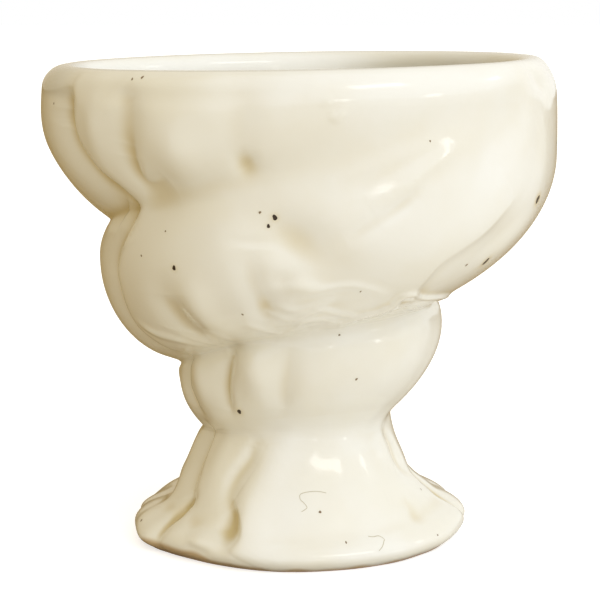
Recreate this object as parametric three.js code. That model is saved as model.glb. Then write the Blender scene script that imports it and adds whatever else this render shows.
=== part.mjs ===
// Egg cup of glazed pottery, shaped as a spiral shell that stands on its tip.
// Three hollow or solid clay parts are luted together: foot, stem whorl and bowl.
// Millimetres, +Z up, the foot's flat ring on Z = 0.
import * as THREE from "three";

const { clamp, degToRad, lerp, smoothstep } = THREE.MathUtils;

// Driving dimensions
const CUP_HEIGHT = 54;
const RIM_RISE = 0.45;
const BODY_RADIUS = 29.2;
const FOOT_HEIGHT = 13.9;
const NECK_RADIUS = 10.45;

// Lip and egg hollow
const LIP_SHOULDER_HEIGHT = 3.3;
const LIP_SHOULDER_CHANGE = 0.9;
const LIP_SHOULDER_WIDTH = 2.3;
const LIP_INNER_WIDTH = 1.6;
const LIP_INNER_HEIGHT = 1.8;
const BOWL_FLOOR_THICKNESS = 3;

// Foot
const FOOT_RADIUS = 19.7;
const FOOT_EDGE_HEIGHT = 1.6;
const FOOT_EDGE_ROLL = 1.6;
const FOOT_LEDGE_BLEND = 0.3;
const FOOT_HOLLOW_RADIUS = 15;
const FOOT_ROOF_THICKNESS = 4;

// Clay and glaze
const SLIP_THICKNESS = 0.4;
const CREASE_RADIUS = 0.6;
const CREASE_FILLING = 3.4;
const FILLING_HEIGHT = 9;
const RIB_DEPTH = 1;
const RIB_WIDTH = 2;
const PRESS_DEPTH = 1;
const PRESS_REACH = 2;

// Facets
const COLUMNS = 88;
const BOWL_ROWS = 21;
const STEM_ROWS = 12;
const FOOT_ROWS = 13;
const SMOOTHING_STEPS = 8;

// The spiral line rises to the right, seen from outside. Turn 0 to 360 degrees is the neck,
// 360 to 1080 the line between the whorls, and from 1080 on it has run out into the rim.
// Each table has one entry per quarter turn: right, back, left, front and so on.
const FULL_TURN = 360;
const QUARTER_TURN = 90;
const SPIRAL_END = 3 * FULL_TURN;
const lineRiseShares = [0, -0.032, -0.05, 0.007, 0, 0.047, 0.14, 0.299, 0.337, 0.414, 0.541, 0.756, 1];
const lineRadiusShares = [0, 0.013, 0.04, 0.008, 0, 0.083, 0.158, 0.221, 0.27, 0.425, 0.565, 0.835, 0.963];
const crestRadiusShares = [0, 0.093, 0.195, 0.269, 0.312, 0.47, 0.64, 0.861, 1, 1, 0.989, 0.963, 0.963];
const crestPlaceShares = [0.78, 0.78, 0.8, 0.78, 0.74, 0.76, 0.77, 0.66, 0.645, 0.68, 0.72, 0.65, 0.65];
const flankPowers = [2, 2, 2, 2, 2, 2.2, 2, 2.2, 2.2, 2.1, 2.1, 2, 2];
const flankRoots = [1, 1, 1, 1, 1, 1.3, 1.9, 1.3, 1, 1, 1.12, 1, 1];

// The foot flares differently at its right, back, left and front. Radii are shares of the foot's.
const footFlankShares = [0.95, 0.9, 0.88, 0.955];
const footFlankPowers = [1.7, 1.25, 0.92, 1.1];
const footEdgeShares = [0.985, 0.975, 1, 0.965];

// Places where glaze fills a crease: angle and spread in degrees, height as described below
const filledCreases = [
  { angle: 305, spread: 42, heightShare: 1.75, tallShare: 1, fillShare: 1 },
  { angle: 285, spread: 55, heightShare: 1, tallShare: 0.35, fillShare: 0.65 },
  { angle: 285, spread: 30, heightShare: 1.33, tallShare: 0.33, fillShare: 0.3 },
  { angle: 243, spread: 22, heightShare: 1.69, tallShare: 0.33, fillShare: 0.27 },
];

// Grooves between the ribs of the shell: angle along the spiral, lean in degrees from the lower to
// the upper line of the whorl, depth and width, and where on the whorl the groove starts and ends.
const wallGrooves = [
  { angle: 911, lean: 0, depthShare: 0.5, widthShare: 0.7, fromShare: 0, toShare: 0.55 },
  ...evenGrooves({ first: 718, step: 24.5, count: 8, depthShare: 0.8, widthShare: 1.1 }),
  ...evenGrooves({ first: 392, step: 24.5, count: 7, depthShare: 0.7, widthShare: 0.9 }),
  ...evenGrooves({ first: 70, step: 28, count: 5, depthShare: 0.6, widthShare: 0.65 }),
  ...evenGrooves({ first: -345, step: 33, count: 6, depthShare: 0.75, widthShare: 1.1 }),
];

// Creases and ridges that a hand pressed into the clay, on the side that shows its marks. A path has
// places of angle and height share: 0 to 1 goes up the foot, and 1 to 2 from there to the rim.
// Left and right are the reaches beside the path, seen along its direction.
const pressings = [
  // Creases between the lobes of the top whorl
  {
    pathShares: [[215.6, 1.95], [215.6, 1.83], [218.2, 1.743], [220.6, 1.703], [224, 1.678], [226, 1.646]],
    riseShare: -1.6, leftShare: 0.4, rightShare: 1.6, power: 1.4,
  },
  {
    pathShares: [[230.9, 1.95], [234.5, 1.873], [232.9, 1.795], [232.4, 1.75]],
    riseShare: -0.55, leftShare: 0.9, rightShare: 1.1, power: 2,
  },
  {
    pathShares: [[232.6, 1.8], [232.4, 1.72], [235.2, 1.703], [239, 1.708]],
    riseShare: -0.9, leftShare: 0.4, rightShare: 0.9, power: 1.4,
  },
  {
    pathShares: [[257.6, 1.953], [257.6, 1.88], [257, 1.805], [258.6, 1.763]],
    riseShare: -0.4, leftShare: 1.1, rightShare: 1.1, power: 2,
  },
  // Left end and lobes of the second whorl
  {
    pathShares: [[225.5, 1.628], [218, 1.519], [214.8, 1.464], [216, 1.411], [218, 1.327], [221.8, 1.232]],
    riseShare: -1.3, leftShare: 0.4, rightShare: 1.6, power: 1.4,
  },
  {
    pathShares: [[258.6, 1.551], [258.9, 1.469], [260.8, 1.401], [261, 1.352]],
    riseShare: -0.45, leftShare: 0.8, rightShare: 0.8, power: 2,
  },
  {
    pathShares: [[236, 1.377], [234.2, 1.317], [231.5, 1.267]],
    riseShare: -0.6, leftShare: 0.65, rightShare: 0.65, power: 2,
  },
  // Edge where the body turns under at the right, and a slanting ridge above it
  {
    pathShares: [[299, 1.389], [301.8, 1.491], [308, 1.551], [318, 1.633], [327.2, 1.7], [340, 1.776]],
    riseShare: 0.55, leftShare: 1.6, rightShare: 0.5, power: 1.7,
  },
  {
    pathShares: [[286, 1.631], [295.9, 1.741], [304, 1.8]],
    riseShare: 0.35, leftShare: 0.9, rightShare: 0.5, power: 1.7,
  },
  // Creases between the ribs of the stem whorl
  {
    pathShares: [[225, 1.065], [224.6, 1.145], [221, 1.182], [216, 1.227]],
    riseShare: -0.7, leftShare: 0.75, rightShare: 0.4, power: 1.7,
  },
  {
    pathShares: [[237, 1.042], [238.4, 1.142], [237.6, 1.247]],
    riseShare: -1.1, leftShare: 0.65, rightShare: 0.45, power: 1.6,
  },
  {
    pathShares: [[265.4, 1.062], [264, 1.165], [260.5, 1.252]],
    riseShare: -0.8, leftShare: 0.7, rightShare: 0.6, power: 1.8,
  },
  // Creases and a pinched fold of the foot
  {
    pathShares: [[206.9, 0.92], [206.9, 0.655], [210, 0.439], [213, 0.288]],
    riseShare: -0.6, leftShare: 0.4, rightShare: 1.2, power: 1.5,
  },
  {
    pathShares: [[243.2, 0.863], [238.3, 0.576], [236.6, 0.424], [237.3, 0.259]],
    riseShare: -0.6, leftShare: 0.55, rightShare: 0.55, power: 2,
  },
  {
    pathShares: [[239, 0.489], [244.6, 0.388], [249.4, 0.252], [248.4, 0.187], [245, 0.101]],
    riseShare: 1.3, leftShare: 1.5, rightShare: 0.7, power: 1.3,
  },
  {
    pathShares: [[332.8, 0.906], [337.5, 0.777], [335.3, 0.647], [347, 0.46]],
    riseShare: -0.5, leftShare: 0.4, rightShare: 0.4, power: 1.6,
  },
  {
    pathShares: [[349, 0.547], [352.5, 0.345], [353, 0.108]],
    riseShare: -0.9, leftShare: 0.45, rightShare: 0.4, power: 1.5,
  },
];

// Lobes and hollows with soft edges: middle, rise, half width and half height, and tilt in degrees
const lobes = [
  { angle: 243.5, heightShare: 1.78, riseShare: 0.8, wideShare: 1.35, tallShare: 1.35, tilt: 0 },
  { angle: 222, heightShare: 1.825, riseShare: 0.35, wideShare: 0.8, tallShare: 2, tilt: 0 },
  { angle: 258.6, heightShare: 1.77, riseShare: -0.45, wideShare: 0.6, tallShare: 0.6, tilt: 0 },
  { angle: 274, heightShare: 1.559, riseShare: -0.4, wideShare: 2.1, tallShare: 1.1, tilt: -20 },
  { angle: 279, heightShare: 1.464, riseShare: -0.8, wideShare: 2.75, tallShare: 1.8, tilt: 0 },
  { angle: 266, heightShare: 1.464, riseShare: -0.35, wideShare: 0.65, tallShare: 0.6, tilt: 0 },
  { angle: 260.8, heightShare: 1.389, riseShare: -0.4, wideShare: 0.75, tallShare: 0.7, tilt: 0 },
  { angle: 246.5, heightShare: 1.372, riseShare: 0.9, wideShare: 1.05, tallShare: 1.6, tilt: 8 },
  { angle: 322, heightShare: 1.564, riseShare: -0.4, wideShare: 2, tallShare: 0.9, tilt: 30 },
  { angle: 249, heightShare: 1.142, riseShare: 0.6, wideShare: 0.75, tallShare: 1.6, tilt: 0 },
  { angle: 225, heightShare: 1.142, riseShare: 0.4, wideShare: 0.5, tallShare: 1.5, tilt: 0 },
  { angle: 221, heightShare: 0.683, riseShare: 0.4, wideShare: 0.75, tallShare: 1.8, tilt: 0 },
  { angle: 239, heightShare: 0.309, riseShare: -0.7, wideShare: 0.6, tallShare: 0.9, tilt: 0 },
  { angle: 163, heightShare: 0.201, riseShare: -1.4, wideShare: 2, tallShare: 0.8, tilt: 0 },
  { angle: 253, heightShare: 0.288, riseShare: 0.3, wideShare: 0.9, tallShare: 0.9, tilt: 0 },
  { angle: 197, heightShare: 0.237, riseShare: 0.5, wideShare: 0.8, tallShare: 0.45, tilt: 0 },
  { angle: 232.8, heightShare: 0.237, riseShare: 0.4, wideShare: 0.65, tallShare: 0.45, tilt: 0 },
  { angle: 5, heightShare: 0.504, riseShare: -0.8, wideShare: 2, tallShare: 0.8, tilt: 0 },
];

// Shares across a luted joint from its middle to its edge, and of a rounding's quarter circle
const jointShares = [0.45, 0.8];
const shoulderShares = [0.28, 0.6, 1];
const innerLipShares = [0.33, 0.67, 1];
const hollowShares = [0.16, 0.34, 0.52, 0.7, 0.86];
const footHollowShares = [0.14, 0.36, 0.6, 0.82];

// Grooves on the side away from the eye follow each other at an even step
function evenGrooves({ first, step, count, depthShare, widthShare }) {
  const groove = { lean: 0, depthShare, widthShare, fromShare: 0, toShare: 0.95 };
  return Array.from({ length: count }, (_, place) => ({ ...groove, angle: first + step * place }));
}

// Smooth curve through the quarter turn values of a table
function alongSpiral(table, turn) {
  const last = table.length - 1;
  const place = clamp(turn / QUARTER_TURN, 0, last);
  const start = Math.min(Math.floor(place), last - 1);
  const share = place - start;
  const [before, from, to, after] = [-1, 0, 1, 2].map((step) => table[clamp(start + step, 0, last)]);
  const bend = 3 * (from - to) + after - before;
  const slope = 2 * before - 5 * from + 4 * to - after;
  return from + 0.5 * share * (to - before + share * (slope + share * bend));
}

function rimHeight(angle) {
  return CUP_HEIGHT + RIM_RISE * Math.cos(degToRad(angle));
}

// Height of the spiral line; below turn 0 it is the table that the foot stands on
function lineHeight(turn, angle) {
  const top = rimHeight(angle);
  if (turn < 0) return 0;
  if (turn >= SPIRAL_END) return top;
  const height = lerp(FOOT_HEIGHT, CUP_HEIGHT, alongSpiral(lineRiseShares, turn));
  return Math.min(height, top);
}

function spiralRadius(table, turn) {
  return lerp(NECK_RADIUS, BODY_RADIUS, alongSpiral(table, turn));
}

// Smooth curve round the cup through a value at the right, the back, the left and the front
function roundCurve(table, angle) {
  const place = angle / QUARTER_TURN;
  const start = Math.floor(place);
  const share = 0.5 - 0.5 * Math.cos(Math.PI * (place - start));
  return lerp(table[start % table.length], table[(start + 1) % table.length], share);
}

// Flared flank of the foot, joined by a soft ledge to its rolled edge
function footRadius(angle, height) {
  const neckHeight = lineHeight(angle, angle);
  const neckRadius = spiralRadius(lineRadiusShares, angle);
  const flankRadius = FOOT_RADIUS * roundCurve(footFlankShares, angle);
  const fall = clamp((neckHeight - height) / (neckHeight - FOOT_EDGE_HEIGHT), 0, 1);
  const roll = FOOT_EDGE_ROLL * clamp(1 - height / FOOT_EDGE_HEIGHT, 0, 1) ** 2;
  const flank = lerp(neckRadius, flankRadius, fall ** roundCurve(footFlankPowers, angle)) - roll;
  const edgeRadius = FOOT_RADIUS * roundCurve(footEdgeShares, angle);
  const edge = edgeRadius - FOOT_EDGE_ROLL * (height / FOOT_EDGE_HEIGHT - 1) ** 2;
  const step = (edge - flank) / FOOT_LEDGE_BLEND;
  return Math.max(flank, edge) + FOOT_LEDGE_BLEND * Math.log1p(Math.exp(-Math.abs(step)));
}

// One whorl swells from its lower line to a crest and draws in again to its upper line
function whorlRadius(turn, angle, height) {
  const low = lineHeight(turn, angle);
  const high = lineHeight(turn + FULL_TURN, angle);
  const lowRadius = spiralRadius(lineRadiusShares, turn);
  const highRadius = spiralRadius(lineRadiusShares, turn + FULL_TURN);
  const crestRadius = Math.max(spiralRadius(crestRadiusShares, turn), lowRadius, highRadius);
  const crestPlace = alongSpiral(crestPlaceShares, turn);
  const place = (height - low) / (high - low);
  if (place < crestPlace) {
    const below = clamp(1 - place / crestPlace, 0, 1);
    const bulge = 1 - below ** alongSpiral(flankPowers, turn);
    return lerp(lowRadius, crestRadius, bulge ** (1 / alongSpiral(flankRoots, turn)));
  }
  const above = clamp((place - crestPlace) / (1 - crestPlace), 0, 1);
  return lerp(crestRadius, highRadius, above ** 2);
}

function sharpRadius(angle, height) {
  for (let turn = angle + 2 * FULL_TURN; turn >= 0; turn -= FULL_TURN) {
    const low = lineHeight(turn, angle);
    const isOpen = lineHeight(turn + FULL_TURN, angle) > low;
    if (isOpen && height >= low) return whorlRadius(turn, angle, height);
  }
  return footRadius(angle, height);
}

// The angle from one place to another, within half a turn
function angleFrom(start, end) {
  return end - start - FULL_TURN * Math.round((end - start) / FULL_TURN);
}

// Height of a place: 0 to 1 goes up the foot, and 1 to 2 from there to the rim
function heightAt(share) {
  return share < 1 ? FOOT_HEIGHT * share : lerp(FOOT_HEIGHT, CUP_HEIGHT, share - 1);
}

// The glaze rounds the creases and fills some of them
function creaseRadius(angle, height) {
  const fillings = filledCreases.map((place) => {
    const around = angleFrom(place.angle, angle) / place.spread;
    const above = (height - heightAt(place.heightShare)) / (FILLING_HEIGHT * place.tallShare);
    return CREASE_FILLING * place.fillShare * Math.exp(-(around ** 4) - above ** 4);
  });
  return fillings.reduce((total, filling) => total + filling, CREASE_RADIUS);
}

function grooveDepth(groove, angle, height, radius) {
  const wraps = Math.round((groove.angle - angle) / FULL_TURN);
  const turn = angle + wraps * FULL_TURN;
  const low = lineHeight(turn, angle);
  const high = lineHeight(turn + FULL_TURN, angle);
  if (high - low < RIB_WIDTH) return 0;
  const place = (height - low) / (high - low);
  const marginShare = 0.06;
  const fadeShare = 0.3;
  const rootShare = 0.3;
  if (place < -marginShare || place > 1 + marginShare) return 0;
  const start = smoothstep(place, groove.fromShare - marginShare, groove.fromShare + marginShare);
  const end = 1 - smoothstep(place, groove.toShare - fadeShare, groove.toShare);
  const middle = groove.angle + groove.lean * (place - 0.5);
  const across = (degToRad(middle - turn) * radius) / (RIB_WIDTH * groove.widthShare);
  const profile = Math.exp(rootShare - Math.hypot(across, rootShare));
  return RIB_DEPTH * groove.depthShare * profile * start * end;
}

function lipShoulderHeight(angle) {
  return LIP_SHOULDER_HEIGHT + LIP_SHOULDER_CHANGE * Math.cos(degToRad(angle));
}

// Outer radius with the whorls and the rounded lip, without grooves, creases and lobes
function outerForm(angle, height) {
  const top = rimHeight(angle);
  const reach = creaseRadius(angle, height);
  let sum = 0;
  let weights = 0;
  for (let step = 0; step <= SMOOTHING_STEPS; step += 1) {
    const offset = (2 * step) / SMOOTHING_STEPS - 1;
    const weight = Math.exp(-2 * offset ** 2);
    sum += weight * sharpRadius(angle, clamp(height + offset * reach, 0, top));
    weights += weight;
  }
  const rise = clamp(1 - (top - height) / lipShoulderHeight(angle), 0, 1);
  return sum / weights - LIP_SHOULDER_WIDTH * (1 - Math.sqrt(1 - rise ** 2));
}

// A pressing's path on the unrolled wall, measured from its first place
function unrolledPath(pathShares) {
  const [startAngle, startShare] = pathShares[0];
  const radius = outerForm(startAngle, heightAt(startShare));
  const points = pathShares.map(([angle, share]) => ({
    across: degToRad(angle - startAngle) * radius,
    height: heightAt(share),
  }));
  return { startAngle, radius, points };
}

const pressedPaths = pressings.map((pressing) => ({ ...pressing, ...unrolledPath(pressing.pathShares) }));

// Nearest place of a path: its distance, its side (-1 left to 1 right) and the share gone along it
function nearestOnPath(points, across, height) {
  const nearest = { distance: Infinity, side: 0, gone: 0 };
  for (let place = 0; place < points.length - 1; place += 1) {
    const start = points[place];
    const alongX = points[place + 1].across - start.across;
    const alongY = points[place + 1].height - start.height;
    const length = Math.hypot(alongX, alongY);
    const [x, y] = [across - start.across, height - start.height];
    const share = clamp((x * alongX + y * alongY) / length ** 2, 0, 1);
    const distance = Math.hypot(x - share * alongX, y - share * alongY);
    if (distance < nearest.distance) {
      const side = distance > 0 ? (x * alongY - y * alongX) / (length * distance) : 0;
      Object.assign(nearest, { distance, side, gone: (place + share) / (points.length - 1) });
    }
  }
  return nearest;
}

function pressedRise(pressing, angle, height) {
  const across = degToRad(angleFrom(pressing.startAngle, angle)) * pressing.radius;
  const { distance, side, gone } = nearestOnPath(pressing.points, across, height);
  const reachShare = lerp(pressing.leftShare, pressing.rightShare, 0.5 + 0.5 * side);
  const taper = Math.sqrt(Math.sin(Math.PI * lerp(0.04, 0.96, gone)));
  const profile = Math.exp(-((distance / (PRESS_REACH * reachShare)) ** pressing.power));
  return PRESS_DEPTH * pressing.riseShare * profile * taper;
}

function lobeRise(lobe, angle, height, radius) {
  const across = degToRad(angleFrom(lobe.angle, angle)) * radius;
  const above = height - heightAt(lobe.heightShare);
  const tilt = degToRad(lobe.tilt);
  const along = (across * Math.cos(tilt) + above * Math.sin(tilt)) / (PRESS_REACH * lobe.wideShare);
  const aside = (above * Math.cos(tilt) - across * Math.sin(tilt)) / (PRESS_REACH * lobe.tallShare);
  return PRESS_DEPTH * lobe.riseShare * Math.exp(-(along ** 2) - aside ** 2);
}

// Outer radius of the whole cup at an angle and a height
function outerRadius(angle, height) {
  const form = outerForm(angle, height);
  const changes = [
    ...wallGrooves.map((groove) => -grooveDepth(groove, angle, height, form)),
    ...pressedPaths.map((pressing) => pressedRise(pressing, angle, height)),
    ...lobes.map((lobe) => lobeRise(lobe, angle, height, form)),
  ];
  return changes.reduce((total, change) => total + change, form);
}

function point(angle, radius, height) {
  return [radius * Math.cos(degToRad(angle)), radius * Math.sin(degToRad(angle)), height];
}

function ring(place) {
  const angles = Array.from({ length: COLUMNS }, (_, column) => (FULL_TURN * column) / COLUMNS);
  return angles.map(place);
}

// Outer wall between two lines round the cup. In each column the row nearest to a spiral line
// lies exactly on it, so that the crease between two whorls stays crisp.
function wallHeights(angle, bottom, top, rows) {
  const step = (top - bottom) / (rows - 1);
  const heights = Array.from({ length: rows }, (_, row) => bottom + step * row);
  for (const turn of [0, FULL_TURN, 2 * FULL_TURN]) {
    const line = lineHeight(angle + turn, angle);
    const row = Math.round((line - bottom) / step);
    if (row > 0 && row < rows - 1) heights[row] = line;
  }
  return heights;
}

function wallRings(bottomLine, topLine, rows) {
  return Array.from({ length: rows }, (_, row) => ring((angle) => {
    const height = wallHeights(angle, bottomLine(angle), topLine(angle), rows)[row];
    return point(angle, outerRadius(angle, height), height);
  }));
}

// The bowl sits on the stem whorl along the front crease, mirrored to the back.
// The foot meets the stem whorl at the neck.
function bowlJointLine(angle) {
  const turn = angle < FULL_TURN / 2 ? 2 * FULL_TURN - angle : FULL_TURN + angle;
  return lineHeight(turn, angle);
}

function neckJointLine(angle) {
  return lineHeight(angle, angle);
}

function raised(line, offset) {
  return (angle) => line(angle) + offset;
}

// Clay face of a luted joint: flat in the middle, and at its edge it follows the joint's line
function jointFace(line, offset) {
  const heights = ring(line);
  const middle = heights.reduce((total, height) => total + height, 0) / COLUMNS;
  const faceRing = (share) => ring((angle) => {
    const edge = line(angle) + offset;
    const height = lerp(middle + offset, edge, share ** 2);
    return point(angle, share * outerRadius(angle, edge), height);
  });
  return { centre: [0, 0, middle + offset], rings: jointShares.map(faceRing), edge: faceRing(1) };
}

const foot = { top: jointFace(neckJointLine, -SLIP_THICKNESS / 2) };
const stem = {
  bottom: jointFace(neckJointLine, SLIP_THICKNESS / 2),
  top: jointFace(bowlJointLine, -SLIP_THICKNESS / 2),
};
const bowl = { bottom: jointFace(bowlJointLine, SLIP_THICKNESS / 2) };

function gap(from, to) {
  return Math.hypot(from[0] - to[0], from[1] - to[1], from[2] - to[2]);
}

// Closed skin from a first point over rings of equal length to a last point. Each four-sided
// facet is split along its shorter diagonal, so that two skins that share rings share facets.
function closedSkin(firstPoint, rings, lastPoint) {
  const vertices = [firstPoint, ...rings.flat(), lastPoint];
  const last = vertices.length - 1;
  const top = rings.length - 1;
  const vertex = (row, place) => 1 + row * COLUMNS + place;
  const triangles = [];
  for (let column = 0; column < COLUMNS; column += 1) {
    const next = (column + 1) % COLUMNS;
    triangles.push(0, vertex(0, next), vertex(0, column));
    for (let row = 0; row < top; row += 1) {
      const [a, b] = [vertex(row, column), vertex(row, next)];
      const [c, d] = [vertex(row + 1, next), vertex(row + 1, column)];
      const isRising = gap(vertices[a], vertices[c]) < gap(vertices[b], vertices[d]);
      triangles.push(...(isRising ? [a, b, c, a, c, d] : [a, b, d, b, c, d]));
    }
    triangles.push(vertex(top, column), vertex(top, next), last);
  }
  const geometry = new THREE.BufferGeometry();
  geometry.setAttribute("position", new THREE.Float32BufferAttribute(vertices.flat(), 3));
  geometry.setIndex(triangles);
  geometry.computeVertexNormals();
  return geometry;
}

function makeFoot() {
  const roof = foot.top.centre[2] - FOOT_ROOF_THICKNESS;
  const hollow = footHollowShares.map((share) => ring((angle) => {
    const slope = (share * Math.PI) / 2;
    return point(angle, FOOT_HOLLOW_RADIUS * Math.sin(slope), roof * Math.cos(slope));
  }));
  const innerEdge = ring((angle) => point(angle, FOOT_HOLLOW_RADIUS, 0));
  const wall = wallRings(() => 0, raised(neckJointLine, -SLIP_THICKNESS / 2), FOOT_ROWS);
  const joint = [...foot.top.rings].reverse();
  const rings = [...hollow, innerEdge, ...wall, ...joint];
  return closedSkin([0, 0, roof], rings, foot.top.centre);
}

function makeStemWhorl() {
  const bottomLine = raised(neckJointLine, SLIP_THICKNESS / 2);
  const topLine = raised(bowlJointLine, -SLIP_THICKNESS / 2);
  const wall = wallRings(bottomLine, topLine, STEM_ROWS);
  const rings = [...stem.bottom.rings, ...wall, ...[...stem.top.rings].reverse()];
  return closedSkin(stem.bottom.centre, rings, stem.top.centre);
}

// The luting slip fills the joint between two clay faces
function makeLutingSeam(lower, upper) {
  const rings = [...lower.rings, lower.edge, upper.edge, ...[...upper.rings].reverse()];
  return closedSkin(lower.centre, rings, upper.centre);
}

function crestRadius(angle) {
  return outerRadius(angle, rimHeight(angle));
}

function makeLip() {
  const shoulder = shoulderShares.map((share) => ring((angle) => {
    const height = rimHeight(angle) - lipShoulderHeight(angle) * (1 - Math.sin((share * Math.PI) / 2));
    return point(angle, outerRadius(angle, height), height);
  }));
  const inside = innerLipShares.map((share) => ring((angle) => {
    const slope = (share * Math.PI) / 2;
    const radius = crestRadius(angle) - LIP_INNER_WIDTH * Math.sin(slope);
    return point(angle, radius, rimHeight(angle) - LIP_INNER_HEIGHT * (1 - Math.cos(slope)));
  }));
  return [...shoulder, ...inside];
}

function makeBowl() {
  const bottomLine = raised(bowlJointLine, SLIP_THICKNESS / 2);
  const topLine = (angle) => rimHeight(angle) - lipShoulderHeight(angle);
  const floor = bowl.bottom.centre[2] + BOWL_FLOOR_THICKNESS;
  const depth = CUP_HEIGHT - LIP_INNER_HEIGHT - floor;
  const hollow = hollowShares.map((share) => ring((angle) => {
    const slope = (share * Math.PI) / 2;
    const mouth = lerp(rimHeight(angle), CUP_HEIGHT, Math.sin(slope)) - LIP_INNER_HEIGHT;
    const radius = (crestRadius(angle) - LIP_INNER_WIDTH) * Math.cos(slope);
    return point(angle, radius, mouth - depth * Math.sin(slope));
  }));
  const wall = wallRings(bottomLine, topLine, BOWL_ROWS);
  const rings = [...bowl.bottom.rings, ...wall, ...makeLip(), ...hollow];
  return closedSkin(bowl.bottom.centre, rings, [0, 0, floor]);
}

function glazedClay() {
  return new THREE.MeshStandardMaterial({ color: "#f0ead9", roughness: 0.16, metalness: 0 });
}

function bareSlip() {
  return new THREE.MeshStandardMaterial({ color: "#d8ccb2", roughness: 0.7, metalness: 0 });
}

function makePart(name, geometry, material) {
  const mesh = new THREE.Mesh(geometry, material);
  mesh.name = name;
  return mesh;
}

const eggCup = new THREE.Group();
eggCup.add(
  makePart("foot", makeFoot(), glazedClay()),
  makePart("foot_luting_seam", makeLutingSeam(foot.top, stem.bottom), bareSlip()),
  makePart("stem_whorl", makeStemWhorl(), glazedClay()),
  makePart("bowl_luting_seam", makeLutingSeam(stem.top, bowl.bottom), bareSlip()),
  makePart("bowl", makeBowl(), glazedClay()),
);

// The shell is lopsided, so the cup is centred by the middle of its box
const middle = new THREE.Box3().setFromObject(eggCup).getCenter(new THREE.Vector3());
eggCup.position.set(-middle.x, -middle.y, 0);

export default eggCup;
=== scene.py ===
"""Looks of a glazed pottery egg cup shaped as a spiral shell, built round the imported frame."""
import functools
import math
import random

import bpy
import numpy as np
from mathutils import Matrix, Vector


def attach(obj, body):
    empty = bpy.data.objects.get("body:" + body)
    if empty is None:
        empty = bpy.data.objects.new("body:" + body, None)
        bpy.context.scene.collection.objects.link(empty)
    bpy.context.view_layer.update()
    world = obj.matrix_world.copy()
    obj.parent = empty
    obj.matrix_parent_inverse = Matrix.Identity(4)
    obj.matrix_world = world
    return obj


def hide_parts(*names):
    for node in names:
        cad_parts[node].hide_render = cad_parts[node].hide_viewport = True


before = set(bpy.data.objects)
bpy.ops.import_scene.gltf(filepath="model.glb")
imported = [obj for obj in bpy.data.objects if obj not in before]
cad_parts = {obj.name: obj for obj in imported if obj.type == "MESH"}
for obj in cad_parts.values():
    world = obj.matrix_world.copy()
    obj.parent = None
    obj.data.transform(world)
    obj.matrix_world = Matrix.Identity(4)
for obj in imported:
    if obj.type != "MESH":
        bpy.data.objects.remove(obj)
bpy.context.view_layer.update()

# The shell's formula works in millimetres, and Blender in metres
MM = 0.001

# Driving sizes of the shell. They are the solids' own, but the body is a little slimmer, so that its uneven
# wall stays inside the solids' box.
CUP_HEIGHT = 54.0
RIM_RISE = 0.45
BODY_RADIUS = 29.12
FOOT_HEIGHT = 13.9
NECK_RADIUS = 10.45
LIP_SHOULDER_HEIGHT = 3.3
LIP_SHOULDER_CHANGE = 0.9
LIP_SHOULDER_WIDTH = 2.3
LIP_INNER_WIDTH = 1.6
LIP_INNER_HEIGHT = 1.8
BOWL_FLOOR_THICKNESS = 3.0
FOOT_RADIUS = 19.7
FOOT_EDGE_HEIGHT = 1.6
FOOT_EDGE_ROLL = 1.6
FOOT_LEDGE_BLEND = 0.3
FOOT_HOLLOW_RADIUS = 15.0
FOOT_ROOF_THICKNESS = 4.0
SLIP_THICKNESS = 0.4
CREASE_RADIUS = 0.6
RIB_DEPTH = 1.0
RIB_WIDTH = 2.0

# Small sizes that the solids don't have
UNEVENNESS = 0.05
SPECK_LIFT = 0.012
HAIR_WIDTH = 0.07

# Fineness of the meshes
COLUMNS = 720
BOWL_ROWS = 170
STEM_ROWS = 64
FOOT_ROWS = 96
SLIP_ROWS = 3
LIP_ROWS = 14
INNER_LIP_ROWS = 10
HOLLOW_ROWS = 63
FOOT_HOLLOW_ROWS = 23
FOOT_BASE_ROWS = 5
BOX_ROWS = 60
SMOOTHING_STEPS = 20
PATH_STEPS = 4
HAIR_STEPS = 8
SPECK_SIDES = 14

# Keeps a division from zero
TINY = 1e-6

# The spiral line per quarter turn from the right: right, back, left, front and so on
TURN = 360.0
LAPS = 3
SPIRAL_END = LAPS * TURN
LINE_RISE_SHARES = [0, -0.032, -0.05, 0.007, 0, 0.047, 0.14, 0.299, 0.337, 0.414, 0.541, 0.756, 1]
LINE_RADIUS_SHARES = [0, 0.013, 0.04, 0.008, 0, 0.083, 0.158, 0.221, 0.27, 0.425, 0.565, 0.835, 0.963]
CREST_RADIUS_SHARES = [0, 0.093, 0.195, 0.269, 0.312, 0.47, 0.64, 0.861, 1, 1, 0.989, 0.963, 0.963]
CREST_PLACE_SHARES = [0.78, 0.78, 0.8, 0.78, 0.74, 0.76, 0.77, 0.66, 0.645, 0.68, 0.72, 0.65, 0.65]
FLANK_POWERS = [2, 2, 2, 2, 2, 2.2, 2, 2.2, 2.2, 2.1, 2.1, 2, 2]
FLANK_ROOTS = [1, 1, 1, 1, 1, 1.3, 1.9, 1.3, 1, 1, 1.12, 1, 1]

# The foot's flank at the right, the back, the left and the front
FOOT_FLANK_SHARES = [0.95, 0.9, 0.88, 0.955]
FOOT_FLANK_POWERS = [1.7, 1.25, 0.92, 1.1]
FOOT_EDGE_SHARES = [0.985, 0.975, 1, 0.965]


# A groove's soft ends and its run out, as shares of the whorl's height, and the roundness of its bottom
# as a share of its width
GROOVE_END_SHARE = 0.95
GROOVE_MARGIN_SHARE = 0.06
GROOVE_RUN_OUT_SHARE = 0.3
GROOVE_ROUNDNESS_SHARE = 0.3


def even_grooves(first, step, count, depth, width):
    """Upright grooves from one whorl's line nearly to the next, at an even step."""
    return [(first + step * place, 0, depth, width, 0, GROOVE_END_SHARE) for place in range(count)]


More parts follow.
